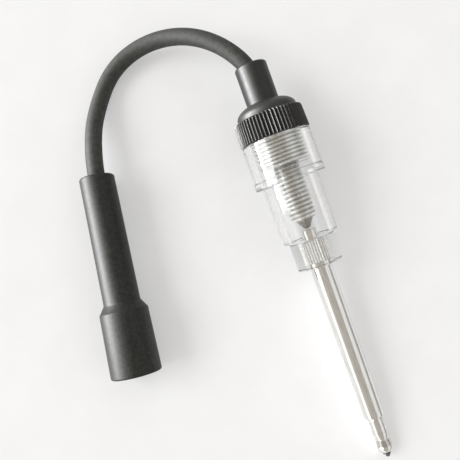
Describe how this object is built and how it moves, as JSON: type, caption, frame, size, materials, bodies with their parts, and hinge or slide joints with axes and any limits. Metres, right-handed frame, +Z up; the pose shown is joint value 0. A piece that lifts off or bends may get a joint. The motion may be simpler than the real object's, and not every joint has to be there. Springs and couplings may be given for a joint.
{
  "type": "spark plug tester",
  "caption": "In-line ignition spark tester: clear barrel with a steel probe, ribbed cap that screws the electrode gap open, short lead and rubber plug boot.",
  "frame": {"origin": "on the surface that the tester lies on, under the middle of its length and on its axis", "axes": "+X along the tester from the probe's tip to the cap, +Y towards the lead's loop and the boot, +Z up; the tester's own axis rises 5.637 degrees towards the cap, because it lies on its nut and its collar"},
  "size_m": [0.1983, 0.1086, 0.0313],
  "materials": {
    "clear_plastic": "clear polished moulding",
    "nickel": "bright nickel plate",
    "bright_steel": "bright drawn and plated steel",
    "dark_steel": "darkened steel",
    "spring_steel": "spring wire",
    "black_plastic": "satin black moulding",
    "sleeve_rubber": "smooth black rubber",
    "lead_rubber": "dull black rubber",
    "boot_rubber": "dull black rubber",
    "brass": "plain formed brass",
    "copper": "bare wire"
  },
  "bodies": {
    "barrel": {"clear_barrel": "clear_plastic", "knurled_insert": "nickel", "core_rod": "bright_steel", "probe_tube": "bright_steel", "terminal_stud": "dark_steel", "terminal_nut": "nickel"},
    "lead_end": {"cap_sleeve": "sleeve_rubber", "swivel_contact": "brass", "lead": "lead_rubber", "lead_wire": "copper", "plug_boot": "boot_rubber", "boot_terminal": "brass", "snap_ring": "spring_steel"},
    "cap": {"knurled_cap": "black_plastic", "threaded_plug": "nickel", "electrode_post": "nickel", "electrode_tip": "dark_steel"}
  },
  "joints": [
    {"name": "gap_slide", "type": "slide", "parent": "barrel", "child": "lead_end", "axis": [0.9952, 0, 0.0982], "range_m": [0, 0.0075]},
    {"name": "cap_turn", "type": "hinge", "parent": "lead_end", "child": "cap", "pos_m": [0.0531, 0, 0.01636], "axis": [0.9952, 0, 0.0982], "range_deg": [0, 1800]}
  ],
  "couplings": [
    {"joint": "cap_turn", "follows": "gap_slide", "rad_per_m": 4188.8}
  ]
}
